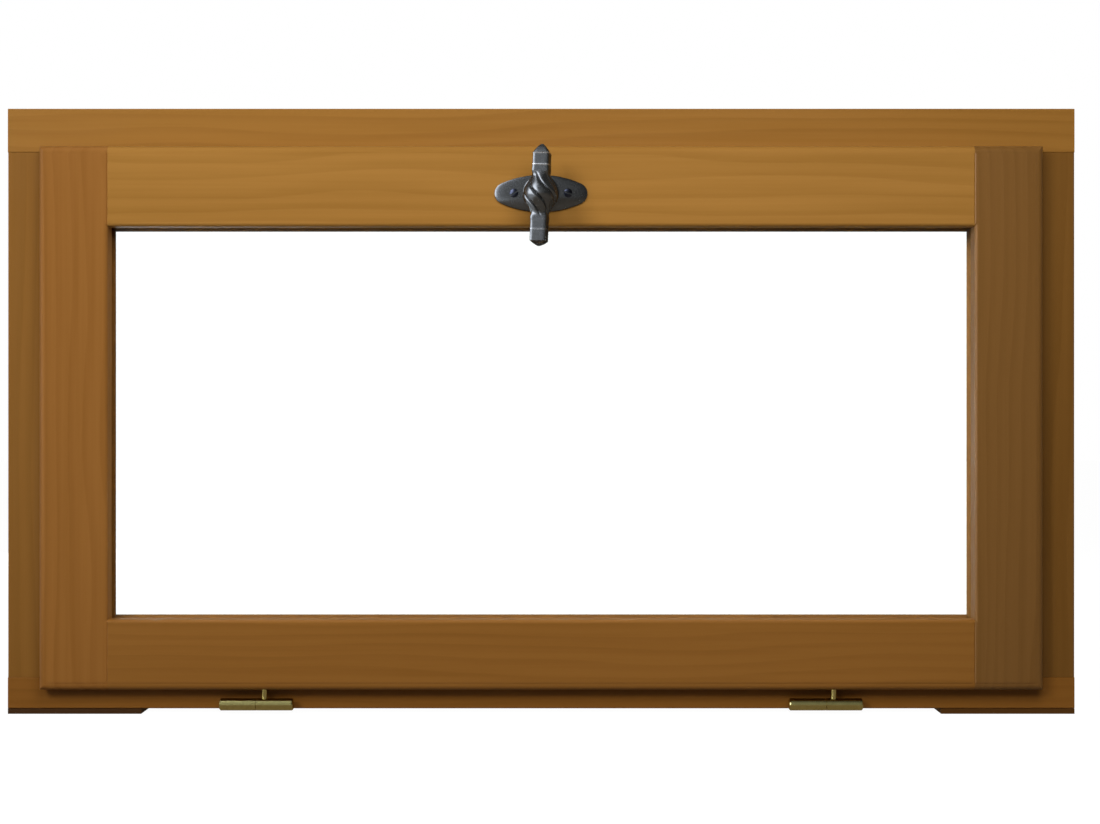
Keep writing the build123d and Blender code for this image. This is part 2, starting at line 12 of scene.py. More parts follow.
import bmesh
import bpy
import numpy as np
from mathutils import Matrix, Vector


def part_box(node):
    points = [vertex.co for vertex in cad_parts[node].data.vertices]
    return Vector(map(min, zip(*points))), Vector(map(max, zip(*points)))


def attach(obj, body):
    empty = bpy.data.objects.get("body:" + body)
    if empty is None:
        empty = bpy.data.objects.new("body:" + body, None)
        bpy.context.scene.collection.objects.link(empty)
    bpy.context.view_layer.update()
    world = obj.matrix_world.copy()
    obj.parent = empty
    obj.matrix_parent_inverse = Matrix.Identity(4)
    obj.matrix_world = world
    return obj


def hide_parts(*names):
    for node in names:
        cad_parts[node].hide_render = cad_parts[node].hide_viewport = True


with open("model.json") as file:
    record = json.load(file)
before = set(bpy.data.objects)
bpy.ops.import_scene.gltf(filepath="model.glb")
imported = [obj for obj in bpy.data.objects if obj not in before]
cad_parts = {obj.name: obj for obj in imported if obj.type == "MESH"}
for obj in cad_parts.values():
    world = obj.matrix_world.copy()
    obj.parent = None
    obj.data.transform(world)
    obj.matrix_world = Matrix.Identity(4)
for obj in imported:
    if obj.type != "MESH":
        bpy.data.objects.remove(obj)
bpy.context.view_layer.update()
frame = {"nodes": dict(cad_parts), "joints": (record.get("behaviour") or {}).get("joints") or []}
nodes = frame["nodes"]
print("solids loaded:", len(nodes))

# %% [markdown]
# ## The camera
# The photograph looks straight at the room side, level, with the outer edges parallel to the
# picture's edges. A camera that isn't tilted keeps upright lines upright. Its height and its
# small sideways shift come from how much of the four reveals round the glass shows, and its
# distance from how much smaller the glass edge is than the sash face.

# %% Place the camera
IMAGE_WIDTH = 1100
FRAME_FACE_Y = -0.01095
CAMERA_DISTANCE = 1.15
CAMERA_SIDE = 0.0066
CAMERA_HEIGHT = 0.2264
METRES_PER_PIXEL = 0.00075
SENSOR_WIDTH = 36.0

camera_data = bpy.data.cameras.new("room_camera")
camera_data.sensor_width = SENSOR_WIDTH
camera_data.lens = SENSOR_WIDTH * CAMERA_DISTANCE / (IMAGE_WIDTH * METRES_PER_PIXEL)
camera = bpy.data.objects.new("room_camera", camera_data)
camera.location = (CAMERA_SIDE, FRAME_FACE_Y - CAMERA_DISTANCE, CAMERA_HEIGHT)
camera.rotation_euler = (math.pi / 2, 0, 0)
bpy.context.scene.collection.objects.link(camera)
bpy.context.scene.camera = camera
bpy.context.scene.view_settings.view_transform = "Standard"
print("lens:", round(camera_data.lens, 2), "mm")

# %% [markdown]
# ## The light
# The sash and the handle throw soft shadows down and to the right, so the key lamp stands on
# the left and above, as a window of the room would. The boards hardly fade from left to right
# but do fade towards the bottom. That is the work of a second lamp near the middle. Two weak
# lamps behind the window and beside it give the outside and the right end a light of their
# own. None of the lamps shows in a mirror reflection: square spots on the polish and on the
# metal would give the studio away, and the room in the next step is made for them instead.

# %% Lamps
LAMP_COLOUR = (1.0, 0.985, 0.95)
LAMPS = {
    "key_lamp": ((-0.92, -1.4, 0.98), (0.0, 0.0, 0.25), 0.6, 13.5),
    "front_lamp": ((0.15, -0.85, 0.8), (0.0, 0.0, 0.25), 0.6, 5.7),
    "back_lamp": ((-0.95, 1.25, 0.2), (0.0, 0.0, 0.25), 0.36, 5.4),
    "side_lamp": ((1.45, 0.4, 0.5), (0.4, 0.0, 0.25), 0.5, 3.5),
}


def area_lamp(name, place, aim, size, watts):
    """A square lamp at place that faces aim and lights without being mirrored."""
    data = bpy.data.lights.new(name, "AREA")
    data.shape = "SQUARE"
    data.size = size
    data.energy = watts
    data.color = LAMP_COLOUR
    lamp = bpy.data.objects.new(name, data)
    lamp.visible_glossy = False
    direction = np.array(place) - np.array(aim)
    flat = math.hypot(direction[0], direction[1])
    lamp.location = place
    lamp.rotation_euler = (
        math.atan2(flat, direction[2]),
        0.0,
        math.atan2(direction[0], -direction[1]),
    )
    bpy.context.scene.collection.objects.link(lamp)


for name, (place, aim, size, watts) in LAMPS.items():
    area_lamp(name, place, aim, size, watts)

# %% [markdown]
# ## Short words for shader nodes
# A material or a world is a tree of nodes joined by links. Most joints here are of three
# kinds, a sum, a soft step and a blend of two colours, so each gets a helper that makes the
# node, fills its sockets and hands back its output. The trees then read like plain formulas.


# %% Node helpers
def add_node(tree, kind, **settings):
    """A new node of the kind in the tree, with each setting put on a property or an input."""
    node = tree.nodes.new(kind)
    for key, value in settings.items():
        if hasattr(node, key):
            setattr(node, key, value)
        else:
            node.inputs[key.replace("_", " ")].default_value = value
    return node


def maths(tree, operation, first, second=0.5, clamp=False):
    """The output of a Math node; a number is set and a socket is linked."""
    node = add_node(tree, "ShaderNodeMath", operation=operation, use_clamp=clamp)
    for socket, value in zip(node.inputs, (first, second)):
        if isinstance(value, (int, float)):
            socket.default_value = value
        else:
            tree.links.new(value, socket)
    return node.outputs[0]


def ranged(tree, value, low, high, to_low=0.0, to_high=1.0):
    """The output of a smooth Map Range node from low..high to to_low..to_high."""
    node = add_node(tree, "ShaderNodeMapRange", interpolation_type="SMOOTHSTEP")
    tree.links.new(value, node.inputs[0])
    for socket, number in zip(node.inputs[1:5], (low, high, to_low, to_high)):
        socket.default_value = number
    return node.outputs[0]


def mixed(tree, factor, first, second):
    """The colour output of a Mix node; colours are tuples or sockets."""
    node = add_node(tree, "ShaderNodeMix", data_type="RGBA")
    for socket, value in zip((node.inputs[0], node.inputs[6], node.inputs[7]), (factor, first, second)):
        if isinstance(value, bpy.types.NodeSocket):
            tree.links.new(value, socket)
        elif isinstance(value, tuple):
            socket.default_value = (*value, 1.0)
        else:
            socket.default_value = value
    return node.outputs[2]


print("node helpers ready")

# %% [markdown]
# ## The white and the room
# The world gives each kind of ray what it needs. Rays that come straight from the camera see
# plain white, and rays that leave through the glass see a white that makes up for what two
# panes take away. Only a ray that hasn't bounced off a piece sees it, because the white would
# light the reveals round the glass. Other rays find a weak fill, and reflected ones a room
# with a tall bright window on the left and a dark right, which gives the metal its shape.
# The window is a cone about one direction, made tall by squeezing the height first.

# %% Which rays see the white
WHITE = (1.0, 1.0, 1.0)
WHITE_THROUGH_GLASS = (1.2, 1.2, 1.2)


def kept_off(tree, rays, depth):
    """One for a path that has no bounce of the depth's kind yet, and zero after the first."""
    return maths(tree, "SUBTRACT", 1.0, rays.outputs[depth], clamp=True)


def straight_through(tree, rays):
    """One for a ray that leaves glass and comes from the camera without any other bounce."""
    unscattered = kept_off(tree, rays, "Diffuse Depth")
    unmirrored = kept_off(tree, rays, "Glossy Depth")
    plain = maths(tree, "MULTIPLY", unscattered, unmirrored)
    return maths(tree, "MULTIPLY", plain, rays.outputs["Is Transmission Ray"])


print("white through the glass:", WHITE_THROUGH_GLASS[0])

# %% World
SKY_FILL = (0.06, 0.055, 0.045)
ROOM_DARK = (0.03, 0.03, 0.028)
ROOM_MIDDLE = (0.31, 0.32, 0.33)
ROOM_BRIGHT = (5.6, 5.8, 6.3)
ROOM_SQUEEZE = (1.0, 1.0, 0.22)
ROOM_BRIGHT_SIDE = (-0.85, -0.52, 0.02)
MIDDLE_FROM = (0.1, 0.5)
BRIGHT_FROM = (0.84, 0.93)
BEHIND = (0.14, 0.1, 0.06)
BEHIND_FROM = (0.05, 0.3)

world = bpy.data.worlds.new("studio")
world.use_nodes = True
bpy.context.scene.world = world
tree = world.node_tree
tree.nodes.clear()
rays = add_node(tree, "ShaderNodeLightPath")
way = add_node(tree, "ShaderNodeTexCoord").outputs["Generated"]
tall = add_node(tree, "ShaderNodeVectorMath", operation="MULTIPLY")
tall.inputs[1].default_value = ROOM_SQUEEZE
tree.links.new(way, tall.inputs[0])
level = add_node(tree, "ShaderNodeVectorMath", operation="NORMALIZE")
tree.links.new(tall.outputs[0], level.inputs[0])
toward = add_node(tree, "ShaderNodeVectorMath", operation="DOT_PRODUCT")
toward.inputs[1].default_value = ROOM_BRIGHT_SIDE
tree.links.new(level.outputs[0], toward.inputs[0])
split_way = add_node(tree, "ShaderNodeSeparateXYZ")
tree.links.new(way, split_way.inputs[0])
room = mixed(tree, ranged(tree, toward.outputs["Value"], *MIDDLE_FROM), ROOM_DARK, ROOM_MIDDLE)
room = mixed(tree, ranged(tree, toward.outputs["Value"], *BRIGHT_FROM), room, ROOM_BRIGHT)
mirrored = mixed(tree, ranged(tree, split_way.outputs["Y"], *BEHIND_FROM), room, BEHIND)
unscattered = kept_off(tree, rays, "Diffuse Depth")
shiny = maths(tree, "MULTIPLY", unscattered, rays.outputs["Glossy Depth"], clamp=True)
unlit = mixed(tree, shiny, SKY_FILL, mirrored)
through = mixed(tree, straight_through(tree, rays), unlit, WHITE_THROUGH_GLASS)
background = add_node(tree, "ShaderNodeBackground")
tree.links.new(mixed(tree, rays.outputs["Is Camera Ray"], through, WHITE), background.inputs["Color"])
output = add_node(tree, "ShaderNodeOutputWorld")
tree.links.new(background.outputs[0], output.inputs[0])
print("world ready")

# %% [markdown]
# ## The floor
# The cut-out photograph has no ground, only white. The window stands on a wide white floor whose own glow
# is seen by the camera and through the glass, so that it reads as white. In reflections it glows too, as a
# painted reflection: dark brown, and bright beyond the left jamb, a painted pool of the bright window's
# light that no lamp casts there. The lower edges of the boards then mirror the dark part, as they should. A
# thin layer of plain paint still takes the shadow. Light that falls on the floor and comes back up meets a
# paler paint, which paints extra bounce light onto the undersides, because in the photograph the undersides
# are brown, not black.

# %% Floor
FLOOR_HALF = 6.0
FLOOR_WHITE = (0.98, 0.98, 0.98)
FLOOR_PAINTED_LIGHT = (1.1, 1.15, 1.22)
FLOOR_PAINTED_LIGHT_FROM = (-0.42, -0.66)
NO_GLOW = (0.0, 0.0, 0.0)
PAINT = (0.12, 0.12, 0.12)
PAINT_FOR_BOUNCES = (0.26, 0.24, 0.21)

corners = [(x * FLOOR_HALF, y * FLOOR_HALF, 0.0) for x, y in ((-1, -1), (1, -1), (1, 1), (-1, 1))]
floor_mesh = bpy.data.meshes.new("floor")
floor_mesh.from_pydata(corners, [], [(0, 1, 2, 3)])
floor = bpy.data.objects.new("floor", floor_mesh)
bpy.context.scene.collection.objects.link(floor)
print("floor:", 2 * FLOOR_HALF, "m wide")

# %% Floor paint
floor_paint = bpy.data.materials.new("floor_paint")
floor_paint.use_nodes = True
tree = floor_paint.node_tree
tree.nodes.clear()
rays = add_node(tree, "ShaderNodeLightPath")
spot = add_node(tree, "ShaderNodeSeparateXYZ")
tree.links.new(add_node(tree, "ShaderNodeTexCoord").outputs["Object"], spot.inputs[0])
# Painted reflection: in mirrors the floor glows dark brown, and bright beyond the left jamb as painted
# window light.
painted_reflection = mixed(tree, ranged(tree, spot.outputs["X"], *FLOOR_PAINTED_LIGHT_FROM), BEHIND, FLOOR_PAINTED_LIGHT)
seen = mixed(tree, rays.outputs["Is Glossy Ray"], NO_GLOW, painted_reflection)
seen = mixed(tree, straight_through(tree, rays), seen, WHITE_THROUGH_GLASS)
seen = mixed(tree, rays.outputs["Is Camera Ray"], seen, FLOOR_WHITE)
glow = add_node(tree, "ShaderNodeEmission")
tree.links.new(seen, glow.inputs["Color"])
paint = add_node(tree, "ShaderNodeBsdfDiffuse")
paler = mixed(tree, rays.outputs["Is Diffuse Ray"], PAINT, PAINT_FOR_BOUNCES)
tree.links.new(paler, paint.inputs["Color"])
both = add_node(tree, "ShaderNodeAddShader")
tree.links.new(glow.outputs[0], both.inputs[0])
tree.links.new(paint.outputs[0], both.inputs[1])
output = add_node(tree, "ShaderNodeOutputMaterial")
tree.links.new(both.outputs[0], output.inputs[0])
floor_mesh.materials.append(floor_paint)
print("floor paint:", len(tree.nodes), "nodes")

# %% [markdown]
# ## Stained softwood
# Every board is fir or pine with a honey-brown stain under a satin varnish. Boards are cut
# from a round trunk, so the figure is made as a solid: rings round an axis that lies beside
# the board, bent by a slow noise, with fine streaks and pores drawn out along the grain. A
# picture wrapped on the faces would show seams at the corners and have no end grain. The
# solid gives long lines on the faces and arcs on the ends of the same board for free.


# %% Tools for node groups
def new_group(name, inputs, outputs):
    """An empty node group with the named sockets, each given as (kind, default)."""
    group = bpy.data.node_groups.new(name, "ShaderNodeTree")
    for label, (kind, default) in inputs.items():
        socket = group.interface.new_socket(label, in_out="INPUT", socket_type="NodeSocket" + kind)
        if default is not None:
            socket.default_value = default
    for label, kind in outputs.items():
        group.interface.new_socket(label, in_out="OUTPUT", socket_type="NodeSocket" + kind)
    return group, group.nodes.new("NodeGroupInput").outputs, group.nodes.new("NodeGroupOutput").inputs


def stretched_noise(tree, vector, along, across, detail, roughness=0.55):
    """Noise with `along` waves a metre down the grain and `across` waves a metre over it."""
    scaled = add_node(tree, "ShaderNodeVectorMath", operation="MULTIPLY")
    scaled.inputs[1].default_value = (along, across, across)
    tree.links.new(vector, scaled.inputs[0])
    noise = add_node(tree, "ShaderNodeTexNoise", Scale=1.0, Detail=detail, Roughness=roughness)
    tree.links.new(scaled.outputs[0], noise.inputs["Vector"])
    return noise.outputs[0]


print("group tools ready")


# %% Group: wood grain
BEND = 0.035
LATE_WOOD = (0.25, 0.86)
RING_END = (1.0, 0.9)


def wood_grain_group():
    """Rings = the fraction of sqrt((y + slow noise)^2 + z^2) / ring width.

    The late wood darkens slowly over a ring and stops short at its end. Fine streaks, a slow
    change of tone and pores are added to it.
    """
    group, given, made = new_group(
        "Wood grain",
        {
            "Vector": ("Vector", None),
            "Pale": ("Color", (0.5, 0.25, 0.1, 1)),
            "Dark": ("Color", (0.2, 0.1, 0.03, 1)),
            "Ring Width": ("Float", 0.006),
            "Figure": ("Float", 0.5),
        },
        {"Color": "Color", "Roughness": "Float", "Height": "Float"},
    )
    vector = given["Vector"]
    slow = stretched_noise(group, vector, along=2.2, across=14.0, detail=2.0)
    streaks = stretched_noise(group, vector, along=5.0, across=260.0, detail=4.0, roughness=0.6)
    pores = stretched_noise(group, vector, along=60.0, across=2400.0, detail=2.0)
    tone = stretched_noise(group, vector, along=1.6, across=26.0, detail=2.0)
    parts = add_node(group, "ShaderNodeSeparateXYZ")
    group.links.new(vector, parts.inputs[0])
    across = maths(group, "ADD", parts.outputs["Y"], maths(group, "MULTIPLY", slow, BEND))
    across = maths(group, "POWER", across, 2.0)
    upwards = maths(group, "POWER", parts.outputs["Z"], 2.0)
    away = maths(group, "SQRT", maths(group, "ADD", across, upwards))
    rings = maths(group, "FRACT", maths(group, "DIVIDE", away, given["Ring Width"]))
    late = maths(group, "MULTIPLY", ranged(group, rings, *LATE_WOOD), ranged(group, rings, *RING_END))
    figure = maths(group, "MULTIPLY", late, given["Figure"])
    figure = maths(group, "ADD", figure, ranged(group, streaks, 0.3, 0.75, to_high=0.3))
    toned = ranged(group, tone, 0.3, 0.7, to_low=-0.12, to_high=0.24)
    figure = maths(group, "ADD", figure, toned, clamp=True)
    figure = maths(group, "ADD", figure, ranged(group, pores, 0.6, 0.8, to_high=0.12), clamp=True)
    group.links.new(mixed(group, figure, given["Pale"], given["Dark"]), made["Color"])
    group.links.new(ranged(group, streaks, 0.3, 0.7, to_low=0.36, to_high=0.5), made["Roughness"])
    height = maths(group, "ADD", maths(group, "MULTIPLY", late, 0.5), maths(group, "MULTIPLY", pores, -0.6))
    group.links.new(height, made["Height"])
    return group


wood_grain = wood_grain_group()
print("group:", wood_grain.name)


# %% Tools for materials
def new_material(name):
    """A material with a Principled shader; gives the tree and that shader."""
    material = bpy.data.materials.new(name)
    material.use_nodes = True
    tree = material.node_tree
    tree.nodes.clear()
    shader = add_node(tree, "ShaderNodeBsdfPrincipled")
    output = add_node(tree, "ShaderNodeOutputMaterial")
    tree.links.new(shader.outputs[0], output.inputs[0])
    return material, tree, shader


def placed_group(tree, group, **settings):
    """The group placed in a material with its inputs set."""
    node = add_node(tree, "ShaderNodeGroup", node_tree=group)
    for key, value in settings.items():
        node.inputs[key.replace("_", " ")].default_value = value
    return node


def bumped(tree, shader, height, strength, depth):
    """Joins a height to the shader's normal through a Bump node."""
    bump = add_node(tree, "ShaderNodeBump", Strength=strength, Distance=depth)
    tree.links.new(height, bump.inputs["Height"])
    tree.links.new(bump.outputs[0], shader.inputs["Normal"])


def srgb(red, green, blue):
    """The linear colour of an 8-bit screen colour."""
    value = np.array([red, green, blue]) / 255.0
    linear = np.where(value <= 0.04045, value / 12.92, ((value + 0.055) / 1.055) ** 2.4)
    return tuple(linear.tolist())


def dress(name, material):
    """Gives a solid its finish."""
    mesh = nodes[name].data
    mesh.materials.clear()
    mesh.materials.append(material)


print("material tools ready")

# %% [markdown]
# ## One board, one finish
# Boards from different trunks take the stain differently, so the head is paler than the jambs. The feet are
# darker still, with painted shade from the sill above them, and the beads round the glass carry painted
# light and shade for what reaches them through the glass: the top and right ones lighter, the left one
# darker. Every board gets a material of its own from the same grain: its tone, the place of its trunk's
# axis, so that no two boards share a figure, and its sheen. On an upright board the axis of the trunk is
# turned to stand.

# %% Material: one board
PALE_SHARE = (1.1, 1.1, 1.14)
DARK_SHARE = (0.84, 0.8, 0.7)
RING_WIDTH = 0.006
FIGURE = 0.3
GRAIN_STRENGTH = 0.25
GRAIN_DEPTH = 0.0002


def board(name, upright, tone, shift, sheen):
    """Stained wood whose grain runs up the piece or along it; shift is the trunk's axis."""
    material, tree, shader = new_material(name)
    place = add_node(tree, "ShaderNodeMapping", vector_type="POINT")
    place.inputs["Location"].default_value = shift
    if upright:
        place.inputs["Rotation"].default_value = (0.0, math.pi / 2, 0.0)
    tree.links.new(add_node(tree, "ShaderNodeTexCoord").outputs["Object"], place.inputs["Vector"])
    pale, dark = (tuple(np.array(tone) * share) for share in (PALE_SHARE, DARK_SHARE))
    grain = placed_group(
        tree, wood_grain, Pale=(*pale, 1.0), Dark=(*dark, 1.0), Ring_Width=RING_WIDTH, Figure=FIGURE
    )
    tree.links.new(place.outputs[0], grain.inputs["Vector"])
    tree.links.new(grain.outputs["Color"], shader.inputs["Base Color"])
    tree.links.new(grain.outputs["Roughness"], shader.inputs["Roughness"])
    bumped(tree, shader, grain.outputs["Height"], GRAIN_STRENGTH, GRAIN_DEPTH)
    shader.inputs["Specular IOR Level"].default_value = sheen
    return material


print("rings:", RING_WIDTH, "m")

# %% The boards: upright or not, tone, trunk's axis and sheen
BOARDS = {
    "head": (False, (155, 109, 48), (0.3, 0.06, -0.38), 0.2),
    "sill": (False, (137, 90, 35), (-0.7, 0.08, 0.07), 0.2),
    "jamb_left": (True, (134, 92, 38), (0.2, 0.09, -0.43), 0.2),
    "jamb_right": (True, (121, 83, 35), (0.6, -0.12, 0.33), 0.2),
    # The dark tones of the feet are painted shade from the sill above.
    "foot_left": (False, (66, 42, 20), (0.1, 0.05, 0.04), 0.2),
    "foot_right": (False, (90, 58, 24), (0.9, 0.07, 0.05), 0.2),
    "stile_left": (True, (152, 103, 49), (0.1, 0.11, -0.28), 0.1),
    "stile_right": (True, (123, 86, 41), (-0.5, -0.08, 0.42), 0.35),
    "top_rail": (False, (166, 120, 57), (0.5, -0.1, -0.46), 0.1),
    "bottom_rail": (False, (145, 98, 42), (-0.2, 0.13, 0.06), 0.22),
    "drip_mould": (False, (145, 96, 42), (0.4, -0.1, 0.02), 0.2),
    # The bead tones hold painted light and shade: top and right lighter, left darker, for the light that
    # reaches them through the glass.
    "bead_top": (False, (160, 108, 48), (0.8, 0.04, -0.4), 0.1),
    "bead_bottom": (False, (132, 88, 44), (-0.3, 0.05, 0.03), 0.15),
    "bead_left": (True, (120, 74, 30), (0.4, 0.05, -0.36), 0.1),
    "bead_right": (True, (155, 108, 58), (-0.4, 0.05, 0.28), 0.3),
}
for name, (upright, tone, shift, sheen) in BOARDS.items():
    dress(name, board("wood_" + name, upright, srgb(*tone), shift, sheen))
print("boards:", len(BOARDS))

# %% [markdown]
# ## Glass and the pieces in its edge
# Clear float glass hardly shows on white. It keeps a full transmission and a faint green,
# and the two panes stay two pieces, so that their edges and reflections are doubled as in
# real double glazing. A ray towards a lamp passes the glass unbent, or else everything
# behind it would be black.

# %% Glass
GLASS_TINT = (0.985, 1.0, 0.992, 1.0)
GLASS_BENDING = 1.45
SHADOW_TINT = (0.9, 0.92, 0.91, 1.0)

glass, tree, shader = new_material("clear_glass")
shader.inputs["Base Color"].default_value = GLASS_TINT
shader.inputs["Roughness"].default_value = 0.0
shader.inputs["IOR"].default_value = GLASS_BENDING
shader.inputs["Transmission Weight"].default_value = 1.0
passing = add_node(tree, "ShaderNodeBsdfTransparent")
passing.inputs["Color"].default_value = SHADOW_TINT
either = add_node(tree, "ShaderNodeMixShader")
tree.links.new(add_node(tree, "ShaderNodeLightPath").outputs["Is Shadow Ray"], either.inputs[0])
tree.links.new(shader.outputs[0], either.inputs[1])
tree.links.new(passing.outputs[0], either.inputs[2])
output = next(node for node in tree.nodes if node.type == "OUTPUT_MATERIAL")
tree.links.new(either.outputs[0], output.inputs[0])
dress("pane_inner", glass)
dress("pane_outer", glass)
print("panes dressed")


# %% A finish with a fine mottle
MOTTLE = (0.3, 0.7)
MOTTLE_STRENGTH = 0.3


def speckled(name, base, deep, roughness, metallic, waves, depth, patchy=0.08):
    """A plain finish with a fine mottle of `waves` a metre, `depth` deep in its height.

    The colour goes between deep and base, and the roughness by patchy to both sides.
    """
    material, tree, shader = new_material(name)
    noise = add_node(tree, "ShaderNodeTexNoise", Scale=waves, Detail=4.0, Roughness=0.6)
    tree.links.new(add_node(tree, "ShaderNodeTexCoord").outputs["Object"], noise.inputs["Vector"])
    mottle = noise.outputs[0]
    colour = mixed(tree, ranged(tree, mottle, *MOTTLE), deep, base)
    uneven = ranged(tree, mottle, *MOTTLE, roughness + patchy, roughness - patchy)
    tree.links.new(colour, shader.inputs["Base Color"])
    tree.links.new(uneven, shader.inputs["Roughness"])
    shader.inputs["Metallic"].default_value = metallic
    bumped(tree, shader, mottle, MOTTLE_STRENGTH, depth)
    return material


print("mottle between", *MOTTLE)

# %% Spacer and setting blocks
bronze = speckled(
    "spacer_metal", (0.2, 0.13, 0.05), (0.15, 0.09, 0.03),
    roughness=0.45, metallic=0.2, waves=900.0, depth=0.0001,
)
rubber = speckled(
    "block_rubber", (0.04, 0.04, 0.04), (0.02, 0.02, 0.02),
    roughness=0.7, metallic=0.0, waves=700.0, depth=0.0002,
)
dress("glass_spacer", bronze)
dress("setting_blocks", rubber)
print("spacer and blocks dressed")

# %% [markdown]
# ## The beads, a hair off the glass
# On the real window a soft bedding lies between the glass and the bead. The solids touch
# there, and where a board's face lies in the very plane of a pane's, a ray can slip between
# them and see black. Copies of the four beads, cut back by a fifth of a millimetre on the
# side of the glass, stand in for the solids. The upper and the lower one also reach a
# millimetre or so further into the light, where the photograph has its edges. The triangles
# of a copy are merged first, because a solid arrives as loose ones.

# %% Beads
BEDDING = 0.0002
REACH = {"top": -0.0014, "bottom": 0.001, "left": 0.0, "right": 0.0}
glass_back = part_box("pane_outer")[1][1]
light_middle = sum(corner[2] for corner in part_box("pane_outer")) / 2


def bedded(name, reach):
    """The bead's mesh at least BEDDING behind the glass, its inner side moved up by reach."""
    mesh = nodes[name].data.copy()
    merged = bmesh.new()
    merged.from_mesh(mesh)
    bmesh.ops.remove_doubles(merged, verts=merged.verts, dist=1e-7)
    merged.to_mesh(mesh)
    merged.free()
    points = np.empty(len(mesh.vertices) * 3)
    mesh.vertices.foreach_get("co", points)
    points = points.reshape(-1, 3)
    points[:, 1] = np.maximum(points[:, 1], glass_back + BEDDING)
    inwards = np.abs(points[:, 2] - light_middle)
    points[inwards < (inwards.min() + inwards.max()) / 2, 2] += reach
    mesh.vertices.foreach_set("co", points.ravel())
    mesh.update()
    return mesh


for side, reach in REACH.items():
    piece = bpy.data.objects.new("bedded_bead_" + side, bedded("bead_" + side, reach))
    bpy.context.scene.collection.objects.link(piece)
    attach(piece, "window")
    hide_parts("bead_" + side)
    print(piece.name, len(piece.data.polygons), "faces")

# %% [markdown]
# ## Brass and dark iron
# The handle is iron under a thin dark satin paint, so part of its look is paint lit by the lamps and part
# is metal that mirrors the room. On the raised lines that ring the bar bright bare iron shows, partly where
# the paint has gone and partly as a painted highlight that is strongest on the upper lines, where light
# falls from above: a number kept on the points of the mesh, called wear_and_glint, shows there.
# The hinges are brass that has dulled to olive, and the screws are blued steel.

# %% Brass on the hinges
brass = speckled(
    "aged_brass", (0.69, 0.62, 0.25), (0.6, 0.53, 0.2),
    roughness=0.2, metallic=1.0, waves=260.0, depth=0.000003, patchy=0.01,
)
hinge_pieces = [name for name in nodes if name.startswith("hinge")]
for name in hinge_pieces:
    dress(name, brass)
print("brass pieces:", len(hinge_pieces))

# %% Dark iron and blued steel
BARE_IRON_GLINT = (0.62, 0.63, 0.65)
EDGE_TINT = (0.3, 0.3, 0.3, 1.0)
iron = speckled(
    "dark_iron", (0.142, 0.149, 0.154), (0.121, 0.127, 0.133),
    roughness=0.25, metallic=0.88, waves=300.0, depth=0.000008, patchy=0.03,
)
tree = iron.node_tree
shader = tree.nodes["Principled BSDF"]
shader.inputs["Specular Tint"].default_value = EDGE_TINT
paint_colour = shader.inputs["Base Color"]
# Bare iron on the ridges: paint that has gone, plus a painted highlight.
wear_and_glint_mask = add_node(tree, "ShaderNodeAttribute", attribute_name="wear_and_glint").outputs["Fac"]
tree.links.new(mixed(tree, wear_and_glint_mask, paint_colour.links[0].from_socket, BARE_IRON_GLINT), paint_colour)
screw_steel = speckled(
    "blued_screw", (0.07, 0.08, 0.12), (0.04, 0.045, 0.07),
    roughness=0.4, metallic=1.0, waves=380.0, depth=0.00004,
)
for name in ("handle_rose", "handle_bar", "handle_spindle"):
    dress(name, iron)
for name in ("rose_screw_left", "rose_screw_right"):
    dress(name, screw_steel)
print("iron and steel ready")

# %% [markdown]
# ## The handle as fine surfaces
# The solids of the handle have flat-sided strands and plain bevels, which is enough to hold
# and to turn. For the picture its pieces are drawn again as smooth surfaces. Each one is a
# grid of points whose rows are closed loops, worked out for the whole grid by one formula.
# A subdivided box would round off the crisp ends along with the strands, while a formula
# keeps both. The pieces take their places from the solids that they stand for.


# %% Closed skins over loops of points
def closed_skin(name, loops, ring=False, sharp=32.0):
    """A closed surface over loops[row, column] whose neighbours are joined by four-sided faces.

    On a ring the last loop joins the first, and otherwise a flat face closes each end.
    Edges that bend by more than `sharp` degrees stay crisp.
    """
    rows, columns, _ = loops.shape
    index = np.arange(rows * columns).reshape(rows, columns)
    lower = index if ring else index[:-1]
    upper = np.roll(index, -1, axis=0) if ring else index[1:]
    corners = (lower, np.roll(lower, -1, axis=1), np.roll(upper, -1, axis=1), upper)
    faces = np.stack(corners, axis=-1).reshape(-1, 4).tolist()
    if not ring:
        faces += [index[0, ::-1].tolist(), index[-1].tolist()]
    mesh = bpy.data.meshes.new(name)
    mesh.from_pydata(loops.reshape(-1, 3).tolist(), [], faces)
    mesh.shade_smooth()
    mesh.set_sharp_from_angle(angle=math.radians(sharp))
    piece = bpy.data.objects.new(name, mesh)
    bpy.context.scene.collection.objects.link(piece)
    return piece


def in_place(loops, origin, x_dir, z_dir):
    """The loops with their own X and Z turned to x_dir and z_dir, and moved to origin."""
    x_dir = np.array(x_dir, dtype=float)
    z_dir = np.array(z_dir, dtype=float)
    return loops @ np.stack([x_dir, np.cross(z_dir, x_dir), z_dir]) + np.array(origin)


def turned(radius, height, columns=96):
    """Loops (r cos a, r sin a, h) about Z, one for each radius r and height h of a profile."""
    angle = np.linspace(0, 2 * math.pi, columns, endpoint=False)
    radius = np.asarray(radius)[:, None]
    height = np.asarray(height)[:, None]
    return np.stack([radius * np.cos(angle), radius * np.sin(angle), height + 0 * angle], axis=-1)


def eased(value):
    """Zero up to 0, one from 1 on, and a smooth S between: 3 v^2 - 2 v^3."""
    value = np.clip(value, 0.0, 1.0)
    return value * value * (3 - 2 * value)


def fitted(piece, body, slot, material, *stands_for):
    """Hands a new piece to a body, with its finish and the solids it stands for; slot is not used."""
    piece.data.materials.append(material)
    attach(piece, body)
    if stands_for:
        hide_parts(*stands_for)
    print(piece.name, len(piece.data.polygons), "faces")


print("surface tools ready")

